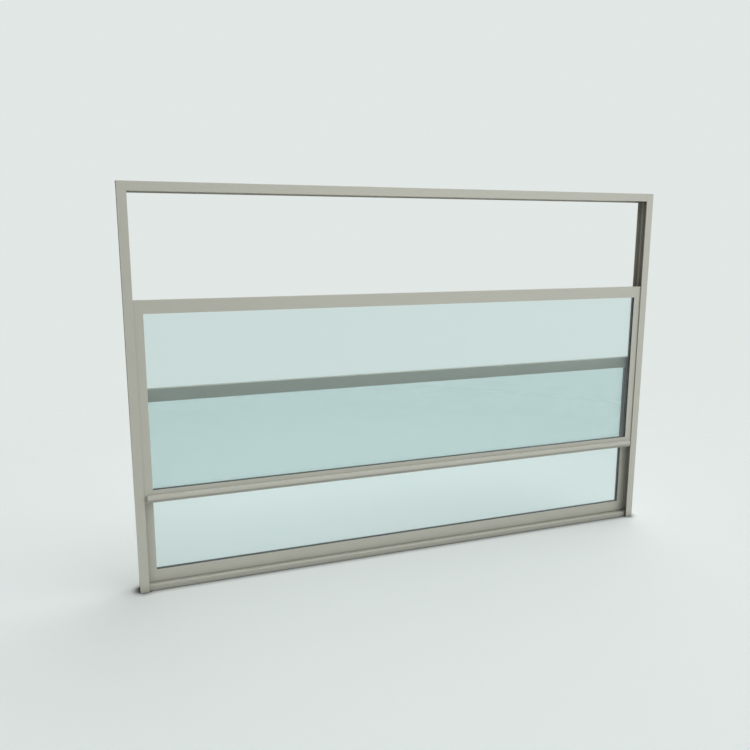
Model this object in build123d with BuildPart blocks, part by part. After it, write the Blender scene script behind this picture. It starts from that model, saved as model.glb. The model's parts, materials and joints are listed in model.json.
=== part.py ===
"""Vertical sliding window: a wide aluminium frame with a fixed lower sash and a sliding upper one.

Millimetres. X runs along the width, Y from front to back, Z up. The origin is at the bottom
centre of the whole window, grip rail included, so the feet of the jambs stand on Z = 0.
"""
import os

from build123d import *

# Overall size
window_width = 3000.0
window_height = 2000.0

# Frame section: a comb with an outer chamber and two channels, one for each sash
frame_face = 44.0        # width of the front flange, as seen
flange_thickness = 2.0
fin_thickness = 2.0
fin_setback = 4.0        # the middle fin stops short of the flanges' edges
chamber_depth = 20.0     # from the outer face to the channel floor
frame_wall = 1.8
flange_lip = 1.2         # return along the inner edge of each flange
flange_lip_width = 2.0
guide_rib_height = 1.6
guide_rib_width = 3.0
flange_edge_radius = 0.8

# Head and sill
head_rear_drop = 5.0     # the head's rear flange hangs lower than its front one
sill_setback = 15.0      # the sill's front stands behind the jambs' front
sill_height = 30.0
sill_wall = 2.0
sill_nose_radius = 5.0
sill_upstand = 20.0      # rear leg behind the fixed sash
sill_chambers = 3
drain_slot_width = 28.0
drain_slot_height = 5.0
drain_slot_level = 8.0
drain_slot_pitch = 700.0
drain_slot_count = 4
screw_port_radius = 2.2
screw_port_wall = 1.5
screw_port_mouth = 1.6
cope_overrun = 5.0       # how far a coping cut runs out past the frame

# Sash section: a chamber with a glazing lip in front and a rebate for a clip-in bead behind
sash_height = 994.0
sash_thickness = 30.0
sash_face = 64.0         # from the sash's edge to the edge of the glass that shows
sash_chamber = 50.0
sash_wall = 1.8
sash_web_place = 26.0
sash_edge_radius = 0.8
bead_foot = 4.0
side_gap = 3.0           # between a sash and the channel floor, filled by the guide shoes
brush_gap = 3.0          # between a sash and the flange or fin beside it
sash_lift = 432.0        # how far the sliding sash is raised above the sill

# Sealed glass unit
pane_thickness = 5.0
glass_cavity = 12.0
glass_edge_gap = 3.0     # between the glass and the rebate floor
gasket_height = 9.0
spacer_height = 7.0

# Brush seals
brush_place = 10.0       # from the sash's edge to the middle of the brush
brush_slot_width = 5.2
brush_slot_mouth = 3.2
brush_slot_lip = 0.8
brush_slot_depth = 1.4
brush_slot_wall = 1.2
brush_clearance = 0.1
brush_pile_width = 2.6
meeting_brush_place = 32.0

# Grip rail, guide shoes and packers
grip_radius = 18.0
grip_wall = 2.0
grip_rise = 5.0          # above the lower edge of the sliding sash
grip_end_gap = 14.0      # between the jamb's flange and the end of the grip rail
grip_cap_thickness = 2.5
shoe_height = 60.0
shoe_width = 26.0
shoe_end_gap = 40.0
shoe_clearance = 0.2
shoe_corner_radius = 4.0
packer_thickness = 2.0
packer_length = 90.0
packer_count = 4
packer_width = 24.0

# Anchor holes through the jambs
anchor_radius = 4.5
anchor_pitch = 500.0
anchor_count = 4
anchor_offset = 8.0      # from the middle of the rear channel towards the fin

# Worked-out depths, counted from the front of the frame
channel_width = sash_thickness + 2 * brush_gap
fin_front = flange_thickness + channel_width
rear_channel_front = fin_front + fin_thickness
rear_channel_back = rear_channel_front + channel_width
frame_depth = rear_channel_back + flange_thickness
sliding_sash_front = flange_thickness + brush_gap
fixed_sash_front = rear_channel_front + brush_gap
front_channel_middle = flange_thickness + channel_width / 2
rear_channel_middle = rear_channel_front + channel_width / 2

# Worked-out places in the window's own frame
grip_proud = grip_radius - sliding_sash_front
front_y = -(frame_depth + grip_proud) / 2 + grip_proud
right_x = window_width / 2
channel_floor_x = right_x - chamber_depth
sash_right_x = channel_floor_x - side_gap
sash_width = 2 * sash_right_x
fixed_sash_bottom = sill_height + packer_thickness
sliding_sash_bottom = fixed_sash_bottom + sash_lift
sliding_sash_y = front_y + sliding_sash_front
fixed_sash_y = front_y + fixed_sash_front

# Worked-out layers of the glazing, counted from the front of a sash
glass_thickness = 2 * pane_thickness + glass_cavity
gasket_thickness = (sash_thickness - glass_thickness) / 2 - sash_wall
front_pane_place = sash_wall + gasket_thickness
back_pane_place = front_pane_place + pane_thickness + glass_cavity
bead_front = sash_thickness - sash_wall
glass_inset = sash_chamber + glass_edge_gap

os.makedirs("parts", exist_ok=True)


def save(piece, name):
    """Label a finished piece and write it to its own file."""
    piece.part.label = name
    export_step(piece.part, f"parts/{name}.step")


def block(low, high, mode=Mode.ADD):
    """A rectangle in the sketch, from its low corner to its high corner."""
    with Locations(low):
        Rectangle(high[0] - low[0], high[1] - low[1], align=(Align.MIN, Align.MIN), mode=mode)


def screw_port(center):
    """A C-shaped port that takes the screws through the jamb; its mouth opens into the chamber."""
    outer = screw_port_radius + screw_port_wall
    with Locations(center):
        Circle(outer)
        Circle(screw_port_radius, mode=Mode.SUBTRACT)
    low = (center[0], center[1] - screw_port_mouth / 2)
    high = (center[0] + outer, center[1] + screw_port_mouth / 2)
    block(low, high, Mode.SUBTRACT)


def comb_teeth(rear_flange, overrun=0.0):
    """The two flanges with their lips, and the fin between them; overrun lets them stand proud."""
    block((0, -overrun), (frame_face, flange_thickness))
    block((frame_face - flange_lip_width, 0), (frame_face, flange_thickness + flange_lip))
    block((0, fin_front), (frame_face - fin_setback, rear_channel_front))
    block((0, rear_channel_back), (rear_flange, frame_depth + overrun))
    lip_front = rear_channel_back - flange_lip
    block((rear_flange - flange_lip_width, lip_front), (rear_flange, frame_depth))


def comb_ribs():
    """The guide ribs on the floors of the two channels."""
    for middle in (front_channel_middle, rear_channel_middle):
        low = (chamber_depth, middle - guide_rib_width / 2)
        high = (chamber_depth + guide_rib_height, middle + guide_rib_width / 2)
        block(low, high)


def comb_section(rear_flange, guide_ribs):
    """Section of a jamb or the head: X inwards from the outer face, Y from front to back."""
    with BuildSketch() as section:
        block((0, 0), (chamber_depth, frame_depth))
        cavity_top = chamber_depth - frame_wall
        block((frame_wall, flange_thickness), (cavity_top, fin_front), Mode.SUBTRACT)
        block((frame_wall, rear_channel_front), (cavity_top, rear_channel_back), Mode.SUBTRACT)
        comb_teeth(rear_flange)
        if guide_ribs:
            comb_ribs()
        else:
            port_place = frame_wall + screw_port_radius + screw_port_wall / 2
            for middle in (front_channel_middle, rear_channel_middle):
                screw_port((port_place, middle))
        front_corners = section.vertices().group_by(Axis.Y)[0]
        fillet(front_corners, radius=flange_edge_radius)
    return section.sketch


def sill_section():
    """Section of the sill: X up from the floor, Y from the front of the frame to the back."""
    with BuildSketch() as section:
        block((0, sill_setback), (sill_height, frame_depth))
        nose = section.vertices().group_by(Axis.Y)[0].sort_by(Axis.X)[-1]
        fillet(nose, radius=sill_nose_radius)
        inner_top = sill_height - sill_wall
        walls = (sill_chambers + 1) * sill_wall
        cavity_depth = (frame_depth - sill_setback - walls) / sill_chambers
        port_place = sill_wall + screw_port_radius + screw_port_wall / 2
        for number in range(sill_chambers):
            cavity_front = sill_setback + sill_wall + number * (cavity_depth + sill_wall)
            block((sill_wall, cavity_front), (inner_top, cavity_front + cavity_depth), Mode.SUBTRACT)
            if number in (0, sill_chambers - 1):
                screw_port((port_place, cavity_front + cavity_depth / 2))
        upstand_front = frame_depth - flange_thickness
        block((0, upstand_front), (sill_height + sill_upstand, frame_depth))
    return section.sketch


def brush_slot(place, side):
    """A T-shaped slot in a sash wall: side is 0 for the front face and 1 for the back face."""
    face = side * sash_thickness
    inward = 1 - 2 * side

    def layer(width, start, end, mode):
        edges = sorted((face + inward * start, face + inward * end))
        block((place - width / 2, edges[0]), (place + width / 2, edges[1]), mode)

    bottom = brush_slot_lip + brush_slot_depth
    layer(brush_slot_width + 2 * brush_slot_wall, 0, bottom + brush_slot_wall, Mode.ADD)
    layer(brush_slot_width, brush_slot_lip, bottom, Mode.SUBTRACT)
    layer(brush_slot_mouth, 0, brush_slot_lip, Mode.SUBTRACT)


def sash_section(slots=()):
    """Section of a sash member: X inwards from its outer edge, Y from front to back."""
    with BuildSketch() as section:
        block((0, 0), (sash_chamber, sash_thickness))
        back_wall = sash_thickness - sash_wall
        block((sash_wall, sash_wall), (sash_web_place, back_wall), Mode.SUBTRACT)
        second_cavity = sash_web_place + sash_wall
        block((second_cavity, sash_wall), (sash_chamber - sash_wall, back_wall), Mode.SUBTRACT)
        block((0, 0), (sash_face, sash_wall))
        for place, side in slots:
            brush_slot(place, side)
        lip_corner = section.vertices().sort_by(SortBy.DISTANCE).sort_by(Axis.X)[-2:]
        fillet(lip_corner.sort_by(Axis.Y)[0], radius=sash_edge_radius)
    return section.sketch


def bead_section():
    """Section of a clip-in glazing bead, in the same axes as the sash section."""
    with BuildSketch() as section:
        block((sash_chamber, bead_front), (sash_face, sash_thickness))
        block((sash_chamber, bead_front - bead_foot), (sash_chamber + sash_wall, sash_thickness))
        back_edge = section.vertices().group_by(Axis.Y)[-1].sort_by(Axis.X)[-1]
        fillet(back_edge, radius=sash_edge_radius)
    return section.sketch


def mitred_bar(section, plane, length):
    """Extrude a section along one side of a rectangle, with both ends cut at 45 degrees."""
    with BuildPart() as bar:
        with BuildSketch(plane):
            add(section)
        extrude(amount=length)
        far_end = plane.origin + plane.z_dir * length
        split(bisect_by=Plane(plane.origin, z_dir=plane.z_dir - plane.x_dir), keep=Keep.TOP)
        split(bisect_by=Plane(far_end, z_dir=-plane.z_dir - plane.x_dir), keep=Keep.TOP)
    return bar


def sash_sides(front, bottom):
    """The four sides of a sash: name, plane at the side's start, length. X points inwards."""
    top = bottom + sash_height
    left, right = -sash_right_x, sash_right_x
    return (
        ("bottom", Plane((right, front, bottom), x_dir=(0, 0, 1), z_dir=(-1, 0, 0)), sash_width),
        ("top", Plane((left, front, top), x_dir=(0, 0, -1), z_dir=(1, 0, 0)), sash_width),
        ("left", Plane((left, front, bottom), x_dir=(1, 0, 0), z_dir=(0, 0, 1)), sash_height),
        ("right", Plane((right, front, top), x_dir=(-1, 0, 0), z_dir=(0, 0, -1)), sash_height),
    )


def sheet(front, bottom, inset, thickness, opening=None):
    """A sheet or ring parallel to the glass: inset is its distance in from the sash's edge."""
    with BuildPart() as piece:
        middle = (0, front, bottom + sash_height / 2)
        with BuildSketch(Plane(middle, x_dir=(1, 0, 0), z_dir=(0, 1, 0))):
            Rectangle(sash_width - 2 * inset, sash_height - 2 * inset)
            if opening is not None:
                Rectangle(sash_width - 2 * opening, sash_height - 2 * opening, mode=Mode.SUBTRACT)
        extrude(amount=thickness)
    return piece


def brush_section(place, side, reach):
    """Section of a brush seal: a backing strip in its slot and a pile that stands out of it."""
    face = side * sash_thickness
    outward = 2 * side - 1
    backing = brush_slot_width - 2 * brush_clearance
    slot_start = face - outward * (brush_slot_lip + brush_clearance)
    slot_end = face - outward * (brush_slot_lip + brush_slot_depth)
    tip = face + outward * reach
    with BuildSketch() as section:
        edges = sorted((slot_start, slot_end))
        block((place - backing / 2, edges[0]), (place + backing / 2, edges[1]))
        edges = sorted((slot_start, tip))
        block((place - brush_pile_width / 2, edges[0]), (place + brush_pile_width / 2, edges[1]))
    return section.sketch


def brush_strips(sections, plane, length, end_gap):
    """Brush strips along one side of a sash, short of its mitred corners."""
    with BuildPart() as strips:
        with BuildSketch(plane.offset(end_gap)):
            for section in sections:
                add(section)
        extrude(amount=length - 2 * end_gap)
    return strips


def pads(front, bottom):
    """Pads between the stiles and the channel floors, grooved to straddle the guide ribs."""
    middle_y = front + sash_thickness / 2
    low_pad = bottom + shoe_end_gap + shoe_height / 2
    high_pad = bottom + sash_height - shoe_end_gap - shoe_height / 2
    groove_depth = guide_rib_height + shoe_clearance
    with BuildPart() as pieces:
        for side in (-1, 1):
            floor = Plane((side * channel_floor_x, middle_y, 0),
                          x_dir=(0, 1, 0), z_dir=(-side, 0, 0))
            for level in (low_pad, high_pad):
                place = (0, level * floor.y_dir.Z)
                with BuildSketch(floor):
                    with Locations(place):
                        RectangleRounded(shoe_width, shoe_height, shoe_corner_radius)
                extrude(amount=side_gap)
                with BuildSketch(floor):
                    with Locations(place):
                        Rectangle(guide_rib_width + 2 * shoe_clearance, shoe_height)
                extrude(amount=groove_depth, mode=Mode.SUBTRACT)
    return pieces


def build_sash(name, front, bottom, member_slots, side_brush_reach):
    """One sash: four mitred members, the sealed glass unit, its gaskets, beads and side brushes."""
    member_names = {"bottom": "bottom_rail", "top": "top_rail",
                    "left": "left_stile", "right": "right_stile"}
    beads = bead_section()
    side_brushes = [brush_section(brush_place, side, side_brush_reach) for side in (0, 1)]
    sections = {side: sash_section(slots) for side, slots in member_slots.items()}
    for side, plane, length in sash_sides(front, bottom):
        save(mitred_bar(sections[side], plane, length), f"{name}_{member_names[side]}")
        save(mitred_bar(beads, plane, length), f"{name}_{side}_bead")
        if side in ("left", "right"):
            save(brush_strips(side_brushes, plane, length, sash_face), f"{name}_{side}_brushes")

    gasket_edge = sash_face - gasket_height
    spacer_edge = sash_face - spacer_height
    layers = (
        ("front_gasket", sash_wall, gasket_edge, gasket_thickness, sash_face),
        ("front_pane", front_pane_place, glass_inset, pane_thickness, None),
        ("spacer", front_pane_place + pane_thickness, spacer_edge, glass_cavity, sash_face),
        ("back_pane", back_pane_place, glass_inset, pane_thickness, None),
        ("back_gasket", bead_front - gasket_thickness, gasket_edge, gasket_thickness, sash_face),
    )
    for layer, place, inset, thickness, opening in layers:
        save(sheet(front + place, bottom, inset, thickness, opening), f"{name}_{layer}")


def jamb_plane(side, overrun=0.0):
    """The plane at one end of a jamb, with X inwards and Y to the back: side is -1 left, 1 right."""
    level = -overrun if side < 0 else window_height + overrun
    return Plane((side * right_x, front_y, level), x_dir=(-side, 0, 0), z_dir=(0, 0, -side))


def cope_to_jambs():
    """Cut the piece being built to fit round the jambs' flanges, fins and guide ribs."""
    for side in (-1, 1):
        with BuildSketch(jamb_plane(side, cope_overrun)) as cut:
            comb_teeth(frame_face, cope_overrun)
            comb_ribs()
        extrude(cut.sketch, amount=window_height + 2 * cope_overrun, mode=Mode.SUBTRACT)


# Jambs: full-height extrusions that stand on the floor, with anchor holes in the rear channel
jamb_section = comb_section(frame_face, guide_ribs=True)
anchor_y = front_y + rear_channel_middle - anchor_offset
for jamb_name, side in (("left_jamb", -1), ("right_jamb", 1)):
    with BuildPart() as jamb:
        with BuildSketch(jamb_plane(side)):
            add(jamb_section)
        extrude(amount=window_height)
        outer_face = Plane((side * right_x, anchor_y, window_height / 2),
                           x_dir=(0, 1, 0), z_dir=(-side, 0, 0))
        with BuildSketch(outer_face):
            with GridLocations(0, anchor_pitch, 1, anchor_count):
                Circle(anchor_radius)
        extrude(amount=chamber_depth, mode=Mode.SUBTRACT)
    save(jamb, jamb_name)

# Head: its chamber runs to the jambs' channel floors, and its flanges stop at the jambs' flanges
span = 2 * channel_floor_x
with BuildPart() as head:
    head_start = Plane((-channel_floor_x, front_y, window_height), x_dir=(0, 0, -1), z_dir=(1, 0, 0))
    with BuildSketch(head_start):
        add(comb_section(frame_face + head_rear_drop, guide_ribs=False))
    extrude(amount=span)
    end_place = channel_floor_x - (frame_face - chamber_depth)
    for side in (-1, 1):
        with Locations((side * end_place, front_y - cope_overrun, window_height - chamber_depth)):
            Box(window_width, frame_depth + 2 * cope_overrun, window_height, mode=Mode.SUBTRACT,
                align=(Align.MIN if side > 0 else Align.MAX, Align.MIN, Align.MAX))
    cope_to_jambs()
save(head, "head")

# Sill: a low hollow bar with a rounded nose, coped like the head, with drain slots at the back
with BuildPart() as sill:
    sill_start = Plane((channel_floor_x, front_y, 0), x_dir=(0, 0, 1), z_dir=(-1, 0, 0))
    with BuildSketch(sill_start):
        add(sill_section())
    extrude(amount=span)
    cope_to_jambs()
    sill_back = Plane((0, front_y + frame_depth, drain_slot_level),
                      x_dir=(1, 0, 0), z_dir=(0, -1, 0))
    with BuildSketch(sill_back):
        with GridLocations(drain_slot_pitch, 0, drain_slot_count, 1):
            SlotOverall(drain_slot_width, drain_slot_height)
    extrude(amount=sill_wall, mode=Mode.SUBTRACT)
save(sill, "sill")

# Sashes: the same extrusions, with brush slots where a seal sits
stile_slots = ((brush_place, 0), (brush_place, 1))
fixed_slots = {"bottom": (), "top": (), "left": stile_slots, "right": stile_slots}
sliding_slots = dict(fixed_slots, bottom=((meeting_brush_place, 1),))
build_sash("fixed_sash", fixed_sash_y, fixed_sash_bottom, fixed_slots, brush_gap)
build_sash("sliding_sash", sliding_sash_y, sliding_sash_bottom, sliding_slots, brush_gap)

# Meeting brush: on the back of the sliding sash's bottom rail, as deep as the gap between sashes
meeting_reach = fixed_sash_front - sliding_sash_front - sash_thickness - brush_clearance
meeting_side = sash_sides(sliding_sash_y, sliding_sash_bottom)[0]
meeting_brush = brush_section(meeting_brush_place, 1, meeting_reach)
meeting_strip = brush_strips([meeting_brush], meeting_side[1], meeting_side[2], sash_face)
save(meeting_strip, "sliding_sash_meeting_brush")

# Guide shoes of the sliding sash, and the pads of the same shape that centre the fixed one
save(pads(sliding_sash_y, sliding_sash_bottom), "sliding_sash_guide_shoes")
save(pads(fixed_sash_y, fixed_sash_bottom), "fixed_sash_side_packers")

# Seat packers under the fixed sash
packer_pitch = (sash_width - 2 * sash_face - packer_length) / (packer_count - 1)
with BuildPart() as seat_packers:
    with BuildSketch(Plane((0, fixed_sash_y + sash_thickness / 2, sill_height))):
        with GridLocations(packer_pitch, 0, packer_count, 1):
            Rectangle(packer_length, packer_width)
    extrude(amount=packer_thickness)
save(seat_packers, "fixed_sash_seat_packers")

# Grip rail: a hollow half-round along the foot of the sliding sash, proud of the frame
grip_level = sliding_sash_bottom + grip_rise + grip_radius
grip_right_x = right_x - frame_face - grip_end_gap


def half_round(radius, plane):
    """A half-disc whose flat side lies on the face of the sliding sash."""
    with BuildSketch(plane) as section:
        Circle(radius)
        Rectangle(2 * radius, radius, align=(Align.CENTER, Align.MIN), mode=Mode.SUBTRACT)
    return section.sketch


def grip_bore(plane):
    """The hollow of the grip rail, one wall inside its half-round."""
    with BuildSketch(plane) as section:
        Circle(grip_radius - grip_wall)
        with Locations((0, -grip_wall)):
            Rectangle(2 * grip_radius, 2 * grip_radius, mode=Mode.SUBTRACT,
                      align=(Align.CENTER, Align.MIN))
    return section.sketch


grip_start = Plane((grip_right_x - grip_cap_thickness, sliding_sash_y, grip_level),
                   x_dir=(0, 0, 1), z_dir=(-1, 0, 0))
grip_length = 2 * (grip_right_x - grip_cap_thickness)
with BuildPart() as grip_rail:
    extrude(half_round(grip_radius, grip_start), amount=grip_length)
    extrude(grip_bore(grip_start), amount=grip_length, mode=Mode.SUBTRACT)
save(grip_rail, "grip_rail")

with BuildPart() as grip_caps:
    extrude(half_round(grip_radius, grip_start), amount=-grip_cap_thickness)
    extrude(half_round(grip_radius, grip_start.offset(grip_length)), amount=grip_cap_thickness)
save(grip_caps, "grip_rail_end_caps")
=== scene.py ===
# %% [markdown]
# # A vertical sliding window in Blender
# The window stands on a pale studio floor: a wide powder-coated aluminium frame, a fixed lower sash
# and a sliding sash in front of it, both with sealed double glazing. Its solids come ready made
# from the CAD model. This lesson gives each of them its finish and adds the small things that a
# solid model leaves out: brush pile, joint lines and screws.

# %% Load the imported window
import json
import math
import random

import bmesh
import bpy
from mathutils import Matrix, Vector

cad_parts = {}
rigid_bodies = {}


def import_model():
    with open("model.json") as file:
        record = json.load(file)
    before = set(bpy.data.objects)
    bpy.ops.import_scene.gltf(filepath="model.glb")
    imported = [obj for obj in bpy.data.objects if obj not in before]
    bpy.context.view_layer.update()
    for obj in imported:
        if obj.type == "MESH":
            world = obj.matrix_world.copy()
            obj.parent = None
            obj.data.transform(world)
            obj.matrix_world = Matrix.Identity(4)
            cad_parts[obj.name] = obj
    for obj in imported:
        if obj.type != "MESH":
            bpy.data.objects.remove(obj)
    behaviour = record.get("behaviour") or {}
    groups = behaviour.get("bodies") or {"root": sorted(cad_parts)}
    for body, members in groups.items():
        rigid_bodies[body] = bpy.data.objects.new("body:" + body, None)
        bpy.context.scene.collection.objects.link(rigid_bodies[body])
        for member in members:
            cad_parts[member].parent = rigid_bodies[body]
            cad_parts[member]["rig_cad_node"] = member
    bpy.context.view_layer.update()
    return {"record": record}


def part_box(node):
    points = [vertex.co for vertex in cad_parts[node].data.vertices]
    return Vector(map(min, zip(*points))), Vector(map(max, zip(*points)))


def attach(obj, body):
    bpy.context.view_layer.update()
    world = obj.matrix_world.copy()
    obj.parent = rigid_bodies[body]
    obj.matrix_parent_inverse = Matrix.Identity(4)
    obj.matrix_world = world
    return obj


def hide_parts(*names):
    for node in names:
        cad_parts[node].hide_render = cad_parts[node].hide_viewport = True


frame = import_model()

cad_nodes = {o["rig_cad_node"]: o for o in bpy.context.scene.objects if "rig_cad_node" in o}

# %% [markdown]
# ## The camera
# The window was photographed from the left, a little above its middle. Such a view could be set by
# eye, but its four front corners fix it exactly: the place, the three angles and the lens below put
# each of them on its own pixel. The columns of the camera's matrix are its right, up and back
# directions.

# %% Camera
camera_place = Vector((-1.6210, -3.6609, 1.7620))
camera_yaw, camera_pitch, camera_roll = (math.radians(a) for a in (20.6639, 10.7036, 0.0995))
camera_lens = 35.6456
sensor_width = 36.0

ahead = Vector((math.sin(camera_yaw) * math.cos(camera_pitch),
                math.cos(camera_yaw) * math.cos(camera_pitch),
                -math.sin(camera_pitch)))
level_right = Vector((math.cos(camera_yaw), -math.sin(camera_yaw), 0.0))
level_up = level_right.cross(ahead)
right = level_right * math.cos(camera_roll) + level_up * math.sin(camera_roll)
up = level_up * math.cos(camera_roll) - level_right * math.sin(camera_roll)

camera = bpy.data.objects.new("camera", bpy.data.cameras.new("camera"))
bpy.context.scene.collection.objects.link(camera)
camera.matrix_world = Matrix((
    (right.x, up.x, -ahead.x, camera_place.x),
    (right.y, up.y, -ahead.y, camera_place.y),
    (right.z, up.z, -ahead.z, camera_place.z),
    (0.0, 0.0, 0.0, 1.0),
))
camera.data.lens = camera_lens
camera.data.sensor_width = sensor_width
camera.data.clip_end = 200.0
bpy.context.scene.camera = camera
bpy.context.scene.view_settings.view_transform = "Standard"
print("camera at", tuple(round(v, 3) for v in camera_place), "lens", round(camera.data.lens, 2))

# %% [markdown]
# ## Shader nodes by name
# Every finish in this lesson is a small net of shader nodes. Three helpers keep those nets short to
# write: one makes a node with its values, one joins a list of sockets, and one starts a material.

# %% Helpers for shader nodes
def new_node(tree, kind, **settings):
    """A node in a tree, its inputs set by name or number, its other settings by attribute."""
    node = tree.nodes.new(kind)
    for name, value in settings.pop("inputs", {}).items():
        node.inputs[name].default_value = value
    for name, value in settings.items():
        setattr(node, name, value)
    return node


def wire(tree, links):
    """Join pairs of sockets in a tree, each from an output to an input."""
    for start, end in links:
        tree.links.new(start, end)


def empty_material(name):
    """A material with nothing but a Principled BSDF on its output."""
    material = bpy.data.materials.new(name)
    material.use_nodes = True
    tree = material.node_tree
    tree.nodes.clear()
    surface = new_node(tree, "ShaderNodeBsdfPrincipled")
    output = new_node(tree, "ShaderNodeOutputMaterial")
    tree.links.new(surface.outputs["BSDF"], output.inputs["Surface"])
    return material, tree, surface


print("helpers:", new_node.__name__, wire.__name__, empty_material.__name__)

# %% [markdown]
# ## The sky
# The world shader has two parts. What the camera sees directly or through glass is the plain
# backdrop. What lights the window is a sky that is bright on the right and dim on the left, as
# from a row of large studio windows, which shades the jambs and channels softly. A picture of a
# real room could light it too, but two numbers and a direction are easier to match to a
# photograph.

# %% Sky
backdrop_colour = (0.757, 0.802, 0.787, 1.0)
sky_colour = (0.97, 1.0, 1.0, 1.0)
sky_everywhere = 0.29
sky_bright_side = (0.985, 0.0, 0.17)
sky_extra = 2.36          # added where the sky lies straight towards the bright side
sky_in_reflections = 0.45

world = bpy.data.worlds.new("studio_sky")
bpy.context.scene.world = world
world.use_nodes = True
sky = world.node_tree
sky.nodes.clear()
direction = new_node(sky, "ShaderNodeTexCoord")
towards = new_node(sky, "ShaderNodeVectorMath", operation="DOT_PRODUCT",
                   inputs={1: sky_bright_side})
lit_side = new_node(sky, "ShaderNodeMath", operation="MAXIMUM", inputs={1: 0.0})
strength = new_node(sky, "ShaderNodeMath", operation="MULTIPLY_ADD",
                    inputs={1: sky_extra, 2: sky_everywhere})
light_path = new_node(sky, "ShaderNodeLightPath")
dimming = new_node(sky, "ShaderNodeMapRange", inputs={"To Min": 1.0, "To Max": sky_in_reflections})
dimmed = new_node(sky, "ShaderNodeMath", operation="MULTIPLY")
lighting = new_node(sky, "ShaderNodeBackground", inputs={"Color": sky_colour})
backdrop = new_node(sky, "ShaderNodeBackground", inputs={"Color": backdrop_colour})
seen = new_node(sky, "ShaderNodeMath", operation="MAXIMUM")
choose = new_node(sky, "ShaderNodeMixShader")
world_output = new_node(sky, "ShaderNodeOutputWorld")
wire(sky, [
    (direction.outputs["Generated"], towards.inputs[0]),
    (towards.outputs["Value"], lit_side.inputs[0]),
    (lit_side.outputs[0], strength.inputs[0]),
    (light_path.outputs["Is Glossy Ray"], dimming.inputs["Value"]),
    (strength.outputs[0], dimmed.inputs[0]),
    (dimming.outputs["Result"], dimmed.inputs[1]),
    (dimmed.outputs[0], lighting.inputs["Strength"]),
    (light_path.outputs["Is Camera Ray"], seen.inputs[0]),
    (light_path.outputs["Is Transmission Ray"], seen.inputs[1]),
    (seen.outputs[0], choose.inputs[0]),
    (lighting.outputs[0], choose.inputs[1]),
    (backdrop.outputs[0], choose.inputs[2]),
    (choose.outputs[0], world_output.inputs["Surface"]),
])
print("sky", sky_everywhere, "and up to", sky_extra, "more on its bright side")

# %% [markdown]
# ## The floor
# A studio has no horizon: its floor curves up into the backdrop. Here the floor grows transparent a
# few metres out and lets the backdrop colour through, so no line shows behind the window. Where the
# window stands on the floor, light hardly gets in, and an occlusion node darkens the floor's colour
# along that narrow line: a painted contact shadow.

# %% Floor
floor_reach = 9.0
floor_colour = (0.816, 0.842, 0.828, 1.0)
floor_roughness = 0.75
floor_gloss = 0.15
floor_fade_start = 1.7
floor_fade_end = 6.0
contact_reach = 0.045     # how far from the window the floor's dark contact line runs
contact_depth = 0.92

floor_mesh = bpy.data.meshes.new("studio_floor")
floor_mesh.from_pydata([(-floor_reach, -floor_reach, 0.0), (floor_reach, -floor_reach, 0.0),
                        (floor_reach, floor_reach, 0.0), (-floor_reach, floor_reach, 0.0)],
                       [], [(0, 1, 2, 3)])
floor = bpy.data.objects.new("studio_floor", floor_mesh)
bpy.context.scene.collection.objects.link(floor)

floor_material, tree, surface = empty_material("pale_studio_floor")
surface.inputs["Roughness"].default_value = floor_roughness
surface.inputs["Specular IOR Level"].default_value = floor_gloss
place = new_node(tree, "ShaderNodeTexCoord")
distance = new_node(tree, "ShaderNodeVectorMath", operation="LENGTH")
fade = new_node(tree, "ShaderNodeMapRange", interpolation_type="SMOOTHSTEP",
                inputs={"From Min": floor_fade_start, "From Max": floor_fade_end})
# Painted contact shadow: occlusion darkens the floor's colour along the window's foot.
contact = new_node(tree, "ShaderNodeAmbientOcclusion", inputs={"Distance": contact_reach})
contact_tone = new_node(tree, "ShaderNodeMapRange",
                        inputs={"From Min": 0.5, "To Min": 1.0 - contact_depth})
toned = new_node(tree, "ShaderNodeVectorMath", operation="SCALE", inputs={0: floor_colour[:3]})
vanishing = new_node(tree, "ShaderNodeBsdfTransparent")
blended = new_node(tree, "ShaderNodeMixShader")
output = next(n for n in tree.nodes if n.type == "OUTPUT_MATERIAL")
wire(tree, [
    (place.outputs["Object"], distance.inputs[0]),
    (distance.outputs["Value"], fade.inputs["Value"]),
    (fade.outputs["Result"], blended.inputs[0]),
    (contact.outputs["AO"], contact_tone.inputs["Value"]),
    (contact_tone.outputs["Result"], toned.inputs["Scale"]),
    (toned.outputs["Vector"], surface.inputs["Base Color"]),
    (surface.outputs["BSDF"], blended.inputs[1]),
    (vanishing.outputs["BSDF"], blended.inputs[2]),
    (blended.outputs[0], output.inputs["Surface"]),
])
floor_mesh.materials.append(floor_material)
print("floor", 2 * floor_reach, "m square")

# %% [markdown]
# ## The lamps
# The sky does most of the lighting. A long strip light above the front, with a narrow beam, adds
# brightness to the head and the top rails and leaves the floor alone. Two soft lamps behind the
# window lift the floor that shows through the glass. None of them can be seen by the camera.


# %% Lights
def softbox(name, place, target, size, power, beam=180.0):
    """A soft light of a size (width, depth) that looks at a target; its beam is in degrees."""
    light = bpy.data.lights.new(name, "AREA")
    light.shape = "RECTANGLE"
    light.size, light.size_y = size
    light.energy = power
    light.spread = math.radians(beam)
    lamp = bpy.data.objects.new(name, light)
    lamp.location = place
    lamp.rotation_euler = (Vector(target) - Vector(place)).to_track_quat("-Z", "Y").to_euler()
    lamp.visible_camera = False
    lamp.visible_transmission = False
    bpy.context.scene.collection.objects.link(lamp)
    return lamp


lamps = (
    softbox("back_high_softbox", (1.9, 2.2, 5.2), (-0.2, 0.0, 0.3), (1.6, 1.6), 3.0),
    softbox("floor_softbox", (-0.9, 1.3, 3.6), (-0.7, 0.8, 0.0), (1.4, 1.4), 1.9, beam=80.0),
    softbox("strip_softbox", (0.2, -1.3, 3.6), (0.2, 0.1, 2.0), (3.2, 0.6), 2.9, beam=62.0),
)
print("softboxes:", [lamp.name for lamp in lamps])
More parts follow.
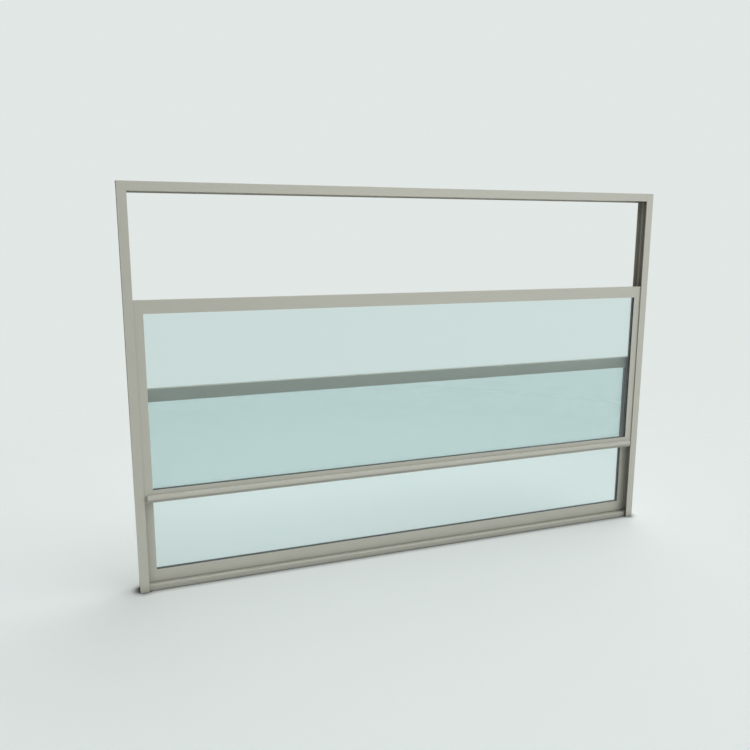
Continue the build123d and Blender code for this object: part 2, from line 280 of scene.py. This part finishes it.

# %% [markdown]
# ## Effects that finishes share
# Powder coat isn't flat when it is seen up close, and neither is moulded plastic or rubber. What
# they have in common is built once, as shader node groups: a fine orange peel, a slow drift of
# colour, settled dust that also paints a lighter top, painted shade in corners and painted shade
# under things. A material places a group and gives it values of its own, so one coat can be dusty
# and the next one clean.


# %% Helper for node groups
def effect_group(name, inputs, outputs):
    """An empty shader node group with named sockets, and its input and output nodes."""
    group = bpy.data.node_groups.new(name, "ShaderNodeTree")
    for label, kind, value in inputs:
        socket = group.interface.new_socket(label, in_out="INPUT", socket_type=kind)
        socket.default_value = value
    for label, kind in outputs:
        group.interface.new_socket(label, in_out="OUTPUT", socket_type=kind)
    return group, group.nodes.new("NodeGroupInput"), group.nodes.new("NodeGroupOutput")


COLOUR, NUMBER = "NodeSocketColor", "NodeSocketFloat"
print("group sockets:", COLOUR, NUMBER)

# %% [markdown]
# ## Orange peel
# Powder melts and flows as it cures, and it sets with a fine waviness. A displaced mesh would need
# millions of faces for that. A noise used as the height of a bump node costs nothing.

# %% Orange peel
orange_peel, given, result = effect_group(
    "orange_peel",
    [("Scale", NUMBER, 500.0)],
    [("Height", NUMBER)],
)
position = new_node(orange_peel, "ShaderNodeTexCoord")
peel = new_node(orange_peel, "ShaderNodeTexNoise", inputs={"Detail": 3.0, "Roughness": 0.55})
wire(orange_peel, [
    (position.outputs["Object"], peel.inputs["Vector"]),
    (given.outputs["Scale"], peel.inputs["Scale"]),
    (peel.outputs[0], result.inputs["Height"]),
])
print("effect:", orange_peel.name)

# %% [markdown]
# ## Slow drift of colour
# Along a bar of three metres, the thickness of the coat changes and its tone with it. A large soft
# noise scales the colour a few hundredths up and down.

# %% Slow drift
slow_drift, given, result = effect_group(
    "slow_drift",
    [("Colour", COLOUR, (0.5, 0.5, 0.5, 1.0)), ("Amount", NUMBER, 0.05), ("Scale", NUMBER, 2.0)],
    [("Colour", COLOUR)],
)
position = new_node(slow_drift, "ShaderNodeTexCoord")
cloud = new_node(slow_drift, "ShaderNodeTexNoise", inputs={"Detail": 2.0, "Roughness": 0.5})
centred = new_node(slow_drift, "ShaderNodeMath", operation="SUBTRACT", inputs={1: 0.5})
amount = new_node(slow_drift, "ShaderNodeMath", operation="MULTIPLY_ADD", inputs={2: 1.0})
drifted = new_node(slow_drift, "ShaderNodeVectorMath", operation="SCALE")
wire(slow_drift, [
    (position.outputs["Object"], cloud.inputs["Vector"]),
    (given.outputs["Scale"], cloud.inputs["Scale"]),
    (cloud.outputs[0], centred.inputs[0]),
    (centred.outputs[0], amount.inputs[0]),
    (given.outputs["Amount"], amount.inputs[1]),
    (given.outputs["Colour"], drifted.inputs[0]),
    (amount.outputs[0], drifted.inputs["Scale"]),
    (drifted.outputs["Vector"], result.inputs["Colour"]),
])
print("effect:", slow_drift.name)

# %% [markdown]
# ## Settled dust and painted top light
# Dust lies only where a surface looks up. The normal's Z gives that mask, and a fine noise breaks
# it into patches. It lightens the colour and takes away gloss. Its light colour is also a painted
# highlight: top faces such as the sill's ledge and the grip's top become brighter, as light from
# above would make them.

# %% Settled dust and painted top light
dust_and_top_light, given, result = effect_group(
    "dust_and_top_light",
    [("Colour", COLOUR, (0.5, 0.5, 0.5, 1.0)), ("Roughness", NUMBER, 0.5),
     ("Dust and top light colour", COLOUR, (0.74, 0.72, 0.65, 1.0)), ("Amount", NUMBER, 0.3)],
    [("Colour", COLOUR), ("Roughness", NUMBER)],
)
facing = new_node(dust_and_top_light, "ShaderNodeNewGeometry")
upward = new_node(dust_and_top_light, "ShaderNodeSeparateXYZ")
lying = new_node(dust_and_top_light, "ShaderNodeMapRange", interpolation_type="SMOOTHSTEP",
                 inputs={"From Min": 0.5, "From Max": 1.0})
position = new_node(dust_and_top_light, "ShaderNodeTexCoord")
speckle = new_node(dust_and_top_light, "ShaderNodeTexNoise",
                   inputs={"Scale": 60.0, "Detail": 5.0, "Roughness": 0.7})
patchy = new_node(dust_and_top_light, "ShaderNodeMapRange", inputs={"From Min": 0.35, "From Max": 0.75})
cover = new_node(dust_and_top_light, "ShaderNodeMath", operation="MULTIPLY")
share = new_node(dust_and_top_light, "ShaderNodeMath", operation="MULTIPLY")
dusty_and_lit = new_node(dust_and_top_light, "ShaderNodeMix", data_type="RGBA")
dust_roughness = 0.85
dull = new_node(dust_and_top_light, "ShaderNodeMix", data_type="FLOAT", inputs={3: dust_roughness})
wire(dust_and_top_light, [
    (facing.outputs["Normal"], upward.inputs[0]),
    (upward.outputs["Z"], lying.inputs["Value"]),
    (position.outputs["Object"], speckle.inputs["Vector"]),
    (speckle.outputs[0], patchy.inputs["Value"]),
    (lying.outputs[0], cover.inputs[0]),
    (patchy.outputs[0], cover.inputs[1]),
    (cover.outputs[0], share.inputs[0]),
    (given.outputs["Amount"], share.inputs[1]),
    (share.outputs[0], dusty_and_lit.inputs["Factor"]),
    (given.outputs["Colour"], dusty_and_lit.inputs[6]),
    (given.outputs["Dust and top light colour"], dusty_and_lit.inputs[7]),
    (share.outputs[0], dull.inputs["Factor"]),
    (given.outputs["Roughness"], dull.inputs[2]),
    (dusty_and_lit.outputs[2], result.inputs["Colour"]),
    (dull.outputs[0], result.inputs["Roughness"]),
])
print("effect:", dust_and_top_light.name)

# %% [markdown]
# ## Painted shade in corners
# Channels, inner corners and the foot of a rail get less light, and this effect paints that shade
# into the colour. An occlusion node finds the places that are closed in within a few centimetres,
# whatever the shape of the piece, and darkens the colour there.

# %% Painted corner shade
painted_shade_reach = 0.06
painted_corner_shade, given, result = effect_group(
    "painted_corner_shade",
    [("Colour", COLOUR, (0.5, 0.5, 0.5, 1.0)), ("Amount", NUMBER, 0.4)],
    [("Colour", COLOUR)],
)
openness = new_node(painted_corner_shade, "ShaderNodeAmbientOcclusion", samples=8,
                    inputs={"Distance": painted_shade_reach})
closed_in = new_node(painted_corner_shade, "ShaderNodeMath", operation="SUBTRACT", inputs={0: 1.0})
shade_share = new_node(painted_corner_shade, "ShaderNodeMath", operation="MULTIPLY")
kept = new_node(painted_corner_shade, "ShaderNodeMath", operation="SUBTRACT", inputs={0: 1.0})
darkened = new_node(painted_corner_shade, "ShaderNodeVectorMath", operation="SCALE")
wire(painted_corner_shade, [
    (openness.outputs["AO"], closed_in.inputs[1]),
    (closed_in.outputs[0], shade_share.inputs[0]),
    (given.outputs["Amount"], shade_share.inputs[1]),
    (shade_share.outputs[0], kept.inputs[1]),
    (given.outputs["Colour"], darkened.inputs[0]),
    (kept.outputs[0], darkened.inputs["Scale"]),
    (darkened.outputs["Vector"], result.inputs["Colour"]),
])
print("effect:", painted_corner_shade.name)

# %% [markdown]
# ## A painted shaded underside
# A surface that faces down gets less light, and the grip rail's underside is painted darker for it:
# a painted shade. The mask is the normal's Z again, the other way up from the dust and top light.

# %% Painted underside shade
painted_underside_shade, given, result = effect_group(
    "painted_underside_shade",
    [("Colour", COLOUR, (0.5, 0.5, 0.5, 1.0)), ("Amount", NUMBER, 0.4)],
    [("Colour", COLOUR)],
)
facing = new_node(painted_underside_shade, "ShaderNodeNewGeometry")
upward = new_node(painted_underside_shade, "ShaderNodeSeparateXYZ")
underneath = new_node(painted_underside_shade, "ShaderNodeMapRange", interpolation_type="SMOOTHSTEP",
                      inputs={"From Min": 0.1, "From Max": -0.6})
underside_share = new_node(painted_underside_shade, "ShaderNodeMath", operation="MULTIPLY")
kept = new_node(painted_underside_shade, "ShaderNodeMath", operation="SUBTRACT", inputs={0: 1.0})
darkened = new_node(painted_underside_shade, "ShaderNodeVectorMath", operation="SCALE")
wire(painted_underside_shade, [
    (facing.outputs["Normal"], upward.inputs[0]),
    (upward.outputs["Z"], underneath.inputs["Value"]),
    (underneath.outputs[0], underside_share.inputs[0]),
    (given.outputs["Amount"], underside_share.inputs[1]),
    (underside_share.outputs[0], kept.inputs[1]),
    (given.outputs["Colour"], darkened.inputs[0]),
    (kept.outputs[0], darkened.inputs["Scale"]),
    (darkened.outputs["Vector"], result.inputs["Colour"]),
])
print("effects:", [g.name for g in bpy.data.node_groups])

# %% [markdown]
# ## Powder coat, plastic and rubber
# Every aluminium profile has the same satin powder coat in a warm light grey, with painted shade
# in its corners and a painted lighter top where dust lies. The grip rail's is the same with a
# painted shade on its underside, and its end caps are plastic moulded in that colour. Gaskets,
# spacer bars, guide shoes and brush backings are black or nearly so. One function makes them all
# from their colour, roughness and amounts of each effect.

# %% Solid finishes
drift_scale = 2.3
peel_strength = 0.6


def place_effect(tree, group, **values):
    """One use of a node group in a material, with its own values."""
    node = new_node(tree, "ShaderNodeGroup", node_tree=group)
    for label, value in values.items():
        node.inputs[label.replace("_", " ")].default_value = value
    return node


def solid_finish(name, colour, roughness, peel_scale, peel_depth, drift, dust_and_top_light_amount, corner_shade_amount=0.0,
                 underside_shade_amount=0.0):
    """A painted, moulded or extruded finish: drifting colour, fine peel, dust with a painted top
    light, and painted shade.
    """
    material, tree, surface = empty_material(name)
    drifting = place_effect(tree, slow_drift, Colour=(*colour, 1.0), Amount=drift,
                            Scale=drift_scale)
    dusted_and_lit = place_effect(tree, dust_and_top_light, Roughness=roughness, Amount=dust_and_top_light_amount)
    peel = place_effect(tree, orange_peel, Scale=peel_scale)
    bump = new_node(tree, "ShaderNodeBump", inputs={"Strength": peel_strength,
                                                   "Distance": peel_depth})
    shown_colour = dusted_and_lit.outputs["Colour"]
    for effect, amount in ((painted_corner_shade, corner_shade_amount), (painted_underside_shade, underside_shade_amount)):
        if amount > 0.0:
            darker = place_effect(tree, effect, Amount=amount)
            tree.links.new(shown_colour, darker.inputs["Colour"])
            shown_colour = darker.outputs["Colour"]
    wire(tree, [
        (drifting.outputs["Colour"], dusted_and_lit.inputs["Colour"]),
        (shown_colour, surface.inputs["Base Color"]),
        (dusted_and_lit.outputs["Roughness"], surface.inputs["Roughness"]),
        (peel.outputs["Height"], bump.inputs["Height"]),
        (bump.outputs["Normal"], surface.inputs["Normal"]),
    ])
    return material


coat_colour = (0.492, 0.480, 0.414)
# Both coats carry painted shade in corners and a painted lighter top with their dust; the grip's
# coat also has a painted shade on its underside.
powder_coat = solid_finish("powder_coat", coat_colour, roughness=0.34, peel_scale=700.0,
                           peel_depth=0.00006, drift=0.06, dust_and_top_light_amount=0.60, corner_shade_amount=0.35)
grip_coat = solid_finish("underside_shaded_powder_coat", coat_colour, roughness=0.32, peel_scale=700.0,
                         peel_depth=0.00006, drift=0.06, dust_and_top_light_amount=0.70, corner_shade_amount=0.35, underside_shade_amount=0.35)
cap_plastic = solid_finish("cap_plastic", (0.478, 0.466, 0.402), roughness=0.42, peel_scale=900.0,
                           peel_depth=0.00005, drift=0.04, dust_and_top_light_amount=0.20)
black_rubber = solid_finish("black_rubber", (0.012, 0.016, 0.014), roughness=0.55,
                            peel_scale=900.0, peel_depth=0.00008, drift=0.20, dust_and_top_light_amount=0.30)
spacer_bar = solid_finish("spacer_bar", (0.014, 0.020, 0.018), roughness=0.40,
                          peel_scale=1200.0, peel_depth=0.00003, drift=0.10, dust_and_top_light_amount=0.0)
black_nylon = solid_finish("black_nylon", (0.020, 0.021, 0.021), roughness=0.45,
                           peel_scale=500.0, peel_depth=0.00010, drift=0.15, dust_and_top_light_amount=0.20)
brush_backing = solid_finish("brush_backing", (0.030, 0.031, 0.030), roughness=0.60,
                             peel_scale=800.0, peel_depth=0.00010, drift=0.20, dust_and_top_light_amount=0.30)
print("finishes:", [m.name for m in bpy.data.materials])

# %% [markdown]
# ## Glass
# Each sealed unit has two panes of clear float glass, a little green. A pane is a real solid 5 mm
# thick, so a Principled shader with full transmission bends and tints light as glass does. Such a
# shader stops the light of lamps, which would put black shadows behind the window. Shadow rays
# therefore meet a plain see-through shader of the same tint.

# %% Glass
glass_tint = (0.893, 0.950, 0.948, 1.0)
glass_shadow = (0.972, 0.975, 0.975, 1.0)
glass_ior = 1.50

float_glass, tree, surface = empty_material("float_glass")
surface.inputs["Base Color"].default_value = glass_tint
surface.inputs["Roughness"].default_value = 0.0
surface.inputs["IOR"].default_value = glass_ior
surface.inputs["Transmission Weight"].default_value = 1.0
clear = new_node(tree, "ShaderNodeBsdfTransparent", inputs={"Color": glass_shadow})
light_path = new_node(tree, "ShaderNodeLightPath")
either = new_node(tree, "ShaderNodeMixShader")
output = next(n for n in tree.nodes if n.type == "OUTPUT_MATERIAL")
wire(tree, [
    (light_path.outputs["Is Shadow Ray"], either.inputs[0]),
    (surface.outputs["BSDF"], either.inputs[1]),
    (clear.outputs["BSDF"], either.inputs[2]),
    (either.outputs[0], output.inputs["Surface"]),
])
print("glass tint", glass_tint[:3])

# %% [markdown]
# ## Finishes on the solids
# The record gives each solid a material slot, so a table from slot to finish dresses them all. A
# node that is named in the table of exceptions gets a finish of its own.

# %% Finishes on the solids
slot_finishes = {
    "frame": powder_coat,
    "sash": powder_coat,
    "end_caps": cap_plastic,
    "glass": float_glass,
    "gasket": black_rubber,
    "spacer": spacer_bar,
    "brush": brush_backing,
    "guide_plastic": black_nylon,
}
node_finishes = {"grip_rail": grip_coat}
node_slots = {part["node"]: part["material_slot"] for part in frame["record"]["subparts"]}
for node_name, solid in cad_nodes.items():
    finish = node_finishes.get(node_name, slot_finishes[node_slots[node_name]])
    for material_slot in solid.material_slots:
        material_slot.material = finish
    if not solid.material_slots:
        solid.data.materials.append(finish)
print("dressed", len(cad_nodes), "solids")

# %% [markdown]
# ## Assembly screws
# On the real window, screws run through each jamb into C-shaped ports in the head and the sill, and
# their pan heads show on the jamb's outer face. A pan head is a body of revolution, so its profile
# is spun round the screw's axis. The cross recess is easiest as a cut: two crossed boxes are taken
# away from the head with Blender's boolean modifier. One head is made once, and eight copies of it
# go where the ports are.


# %% Helper for added pieces
def add_piece(name, mesh, material):
    """An object for a finished mesh, riding on the window and taking its finish from a slot."""
    piece = bpy.data.objects.new(name, mesh)
    bpy.context.scene.collection.objects.link(piece)
    mesh.materials.clear()
    mesh.materials.append(material)
    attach(piece, "root")
    return piece


def box_into(mesh, low, high):
    """Add a closed box to a bmesh, from its low corner to its high corner."""
    middle = (Vector(low) + Vector(high)) / 2
    size = Vector(high) - Vector(low)
    bmesh.ops.create_cube(mesh, size=1.0,
                          matrix=Matrix.Translation(middle) @ Matrix.Diagonal((*size, 1.0)))


print("added pieces ride on the body root")

# %% One screw head
zinc = solid_finish("zinc_plate", (0.62, 0.62, 0.60), roughness=0.35, peel_scale=1500.0,
                    peel_depth=0.00002, drift=0.10, dust_and_top_light_amount=0.10)
zinc_shader = next(n for n in zinc.node_tree.nodes if n.type == "BSDF_PRINCIPLED")
zinc_shader.inputs["Metallic"].default_value = 1.0

head_radius = 0.0038
head_height = 0.0024
head_rim = 0.0007            # upright edge below the dome
head_rings = 8
head_sides = 40
recess_reach = 0.0021
recess_width = 0.0009
recess_depth = 0.0014

dome = bmesh.new()
outline = [(head_radius, 0.0)]
for ring in range(head_rings + 1):
    angle = math.radians(90.0 * ring / head_rings)
    outline.append((head_radius * math.cos(angle),
                    head_rim + (head_height - head_rim) * math.sin(angle)))
corners = [dome.verts.new((x, 0.0, z)) for x, z in outline]
sides = [dome.edges.new(pair) for pair in zip(corners, corners[1:])]
bmesh.ops.spin(dome, geom=corners + sides, axis=(0, 0, 1), cent=(0, 0, 0), angle=math.tau,
               steps=head_sides)
bmesh.ops.remove_doubles(dome, verts=dome.verts, dist=1e-6)
rim = [edge for edge in dome.edges if edge.is_boundary]
bmesh.ops.contextual_create(dome, geom=rim)
bmesh.ops.recalc_face_normals(dome, faces=dome.faces)
dome_mesh = bpy.data.meshes.new("screw_dome")
dome.to_mesh(dome_mesh)

cross = bmesh.new()
recess_floor = head_height - recess_depth
for reach_x, reach_y in ((recess_reach, recess_width / 2), (recess_width / 2, recess_reach)):
    box_into(cross, (-reach_x, -reach_y, recess_floor), (reach_x, reach_y, 2 * head_height))
cross_mesh = bpy.data.meshes.new("screw_cross")
cross.to_mesh(cross_mesh)

dome_object = bpy.data.objects.new("screw_dome", dome_mesh)
cross_object = bpy.data.objects.new("screw_cross", cross_mesh)
for helper in (dome_object, cross_object):
    bpy.context.scene.collection.objects.link(helper)
recess = dome_object.modifiers.new("recess", "BOOLEAN")
recess.operation = "DIFFERENCE"
recess.solver = "EXACT"
recess.use_self = True
recess.object = cross_object
finished = dome_object.evaluated_get(bpy.context.evaluated_depsgraph_get())
head_mesh = bpy.data.meshes.new_from_object(finished)
head_mesh.name = "screw_head"
for helper in (dome_object, cross_object):
    bpy.data.objects.remove(helper)
print("screw head:", len(head_mesh.polygons), "faces")

# %% Screws in the jambs
frame_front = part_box("left_jamb")[0][1]
frame_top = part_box("left_jamb")[1][2]
frame_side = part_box("right_jamb")[1][0]
port_level = 0.00495         # from the end of the jamb to the middle of a port
head_port_places = (0.020, 0.058)
sill_port_places = (0.02617, 0.06683)

screw_places = [(place, frame_top - port_level) for place in head_port_places]
screw_places += [(place, port_level) for place in sill_port_places]
turn = random.Random(7)      # how far each screw happened to be turned
for side, side_name in ((-1, "left"), (1, "right")):
    all_heads = bmesh.new()
    for place, level in screw_places:
        outward = Matrix.Rotation(side * math.radians(90.0), 4, "Y")
        driven = Matrix.Rotation(turn.uniform(0.0, math.tau), 4, "Z")
        seat = Matrix.Translation((side * frame_side, frame_front + place, level))
        head = head_mesh.copy()
        head.transform(seat @ outward @ driven)
        all_heads.from_mesh(head)
    screws = bpy.data.meshes.new(f"{side_name}_jamb_screws")
    all_heads.to_mesh(screws)
    add_piece(f"{side_name}_jamb_screws", screws, zinc)
print("screws:", 2 * len(screw_places))

# %% [markdown]
# ## Joint lines
# The sash members meet at mitred corners and the head meets the jambs at butt joints. The fitter
# runs a thin sealer into each joint before closing it, and a hairline of it shows on the face. A
# strip a quarter of a millimetre wide along each joint, a few hundredths proud, reads the same way
# and stays right when the window is seen close up.

# %% Joint sealer
sealer = solid_finish("joint_sealer", (0.20, 0.20, 0.18), roughness=0.55, peel_scale=900.0,
                      peel_depth=0.00004, drift=0.10, dust_and_top_light_amount=0.10)
line_width = 0.00025
line_proud = 0.00004
line_sunk = 0.0001
sash_face_width = 0.064
head_face_height = 0.044


def joint_strip(mesh, start, end, face_y, outward):
    """A strip on a face of the window, from start to end in X and Z."""
    along = Vector((end[0] - start[0], 0.0, end[1] - start[1]))
    across = Vector((-along.z, 0.0, along.x)).normalized() * line_width / 2
    depths = (face_y - outward * line_sunk, face_y + outward * line_proud)
    rings = []
    for place in (start, end):
        middle = Vector((place[0], 0.0, place[1]))
        ring = []
        for shift, depth in ((across, 0), (across, 1), (-across, 1), (-across, 0)):
            point = middle + shift
            ring.append(mesh.verts.new((point.x, depths[depth], point.z)))
        rings.append(ring)
    for number in range(4):
        after = (number + 1) % 4
        mesh.faces.new((rings[0][number], rings[0][after], rings[1][after], rings[1][number]))
    mesh.faces.new(rings[0])
    mesh.faces.new(reversed(rings[1]))


print("joint sealer:", sealer.name, "in strips", line_width * 1000, "mm wide")

# %% Mitres of the sashes
for sash_name in ("sliding_sash", "fixed_sash"):
    left_low, left_high = (Vector(c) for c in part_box(f"{sash_name}_left_stile"))
    right_low, right_high = (Vector(c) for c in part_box(f"{sash_name}_right_stile"))
    lines = bmesh.new()
    for face_y, outward in ((left_low.y, -1), (left_high.y, 1)):
        for outer_x, way_in in ((left_low.x, 1), (right_high.x, -1)):
            for outer_z, way_up in ((left_low.z, 1), (left_high.z, -1)):
                inner = (outer_x + way_in * sash_face_width, outer_z + way_up * sash_face_width)
                joint_strip(lines, (outer_x, outer_z), inner, face_y, outward)
    bmesh.ops.recalc_face_normals(lines, faces=lines.faces)
    mesh = bpy.data.meshes.new(f"{sash_name}_mitre_lines")
    lines.to_mesh(mesh)
    add_piece(f"{sash_name}_mitre_lines", mesh, sealer)

# %% Joints of the head
head_low, head_high = (Vector(c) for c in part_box("head"))
jamb_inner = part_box("right_jamb")[0][0]
lines = bmesh.new()
front_flange_low = frame_top - head_face_height
for side in (-1, 1):
    joint_strip(lines, (side * jamb_inner, front_flange_low), (side * jamb_inner, frame_top),
                head_low.y, -1)
    joint_strip(lines, (side * jamb_inner, head_low.z), (side * jamb_inner, frame_top),
                head_high.y, 1)
bmesh.ops.recalc_face_normals(lines, faces=lines.faces)
mesh = bpy.data.meshes.new("head_joint_lines")
lines.to_mesh(mesh)
add_piece("head_joint_lines", mesh, sealer)
print("head joints:", len(lines.faces), "faces")

# %% [markdown]
# ## Brush seals
# A real brush seal is a strip of plastic backing with rows of fine pile woven into it, and a thin
# fin down its middle. The CAD model has a plain strip of the same size. Blender's hair would suit
# the pile, but a mesh exports with the window. So each strip is built again as a backing, a fin and
# tufts in rows, each a slim blade with a little lean and twist of its own. They come from a seeded
# random generator, so the seal is the same every time the script runs.

# %% Brush pile
pile_grey = solid_finish("woven_pile", (0.035, 0.036, 0.034), roughness=0.85, peel_scale=3000.0,
                         peel_depth=0.00002, drift=0.30, dust_and_top_light_amount=0.20)
pile_width = 0.0026
backing_width = 0.005
backing_depth = 0.0013
slot_lip = 0.0009            # from the sash's face to the top of the backing
fin_thickness = 0.0002
fin_short = 0.0002           # how far the fin ends below the tip of the pile
tuft_short = 0.0003          # the same for the shortest tuft
tuft_pitch = 0.0010
tuft_rows = 4
tuft_width = 0.00042
tuft_lean = 0.00025
tuft_source = random.Random(11)


def brush_strip(mesh, along, start, end, centre, root, tip):
    """A brush along X or Z: root and tip are the pile's ends in Y, centre its middle across."""
    outward = 1.0 if tip > root else -1.0
    across = 0 if along == 2 else 2

    def spot(run, cross_place, depth):
        point = [0.0, depth, 0.0]
        point[along] = run
        point[across] = cross_place
        return Vector(point)

    def slab(half_width, near, far):
        a = spot(start, centre - half_width, near)
        b = spot(end, centre + half_width, far)
        box_into(mesh, [min(p) for p in zip(a, b)], [max(p) for p in zip(a, b)])

    slab(backing_width / 2, root - outward * backing_depth, root)
    slab(fin_thickness / 2, root, tip - outward * fin_short)
    count = int((end - start) / tuft_pitch)
    for row in range(tuft_rows):
        row_place = centre - pile_width / 2 + pile_width * (row + 0.5) / tuft_rows
        for number in range(count):
            run = start + (number + tuft_source.uniform(0.2, 0.8)) * (end - start) / count
            twist = tuft_source.uniform(-1.2, 1.2)
            half_run = tuft_width / 2 * math.cos(twist)
            half_across = tuft_width / 2 * math.sin(twist)
            lean_run = tuft_source.uniform(-tuft_lean, tuft_lean)
            lean_across = tuft_source.uniform(-tuft_lean, tuft_lean) / 2
            end_run = run + lean_run
            end_place = row_place + lean_across
            end_depth = tip - outward * tuft_source.uniform(0.0, tuft_short)
            blade = (
                spot(run - half_run, row_place - half_across, root),
                spot(run + half_run, row_place + half_across, root),
                spot(end_run + half_run / 2, end_place + half_across / 2, end_depth),
                spot(end_run - half_run / 2, end_place - half_across / 2, end_depth),
            )
            mesh.faces.new([mesh.verts.new(corner) for corner in blade])


print("pile:", round(tuft_rows / tuft_pitch), "tufts a metre in", tuft_rows, "rows")

# %% Five brush seals
brush_gap = 0.003            # from the sash to the channel wall that the pile touches
for sash_name in ("sliding_sash", "fixed_sash"):
    for side_name in ("left", "right"):
        node_name = f"{sash_name}_{side_name}_brushes"
        low, high = (Vector(c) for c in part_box(node_name))
        strips = bmesh.new()
        centre = (low.x + high.x) / 2
        brush_strip(strips, 2, low.z, high.z, centre, low.y + brush_gap + slot_lip, low.y)
        brush_strip(strips, 2, low.z, high.z, centre, high.y - brush_gap - slot_lip, high.y)
        mesh = bpy.data.meshes.new(f"{node_name}_pile")
        strips.to_mesh(mesh)
        piece = add_piece(f"{node_name}_pile", mesh, pile_grey)
        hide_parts(node_name)
low, high = (Vector(c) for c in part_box("sliding_sash_meeting_brush"))
strips = bmesh.new()
brush_strip(strips, 0, low.x, high.x, (low.z + high.z) / 2, low.y + backing_depth, high.y)
mesh = bpy.data.meshes.new("sliding_sash_meeting_brush_pile")
strips.to_mesh(mesh)
piece = add_piece("sliding_sash_meeting_brush_pile", mesh, pile_grey)
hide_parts("sliding_sash_meeting_brush")
pile_pieces = [o for o in bpy.data.objects if o.name.endswith("_pile")]
print("pile faces:", sum(len(o.data.polygons) for o in pile_pieces))
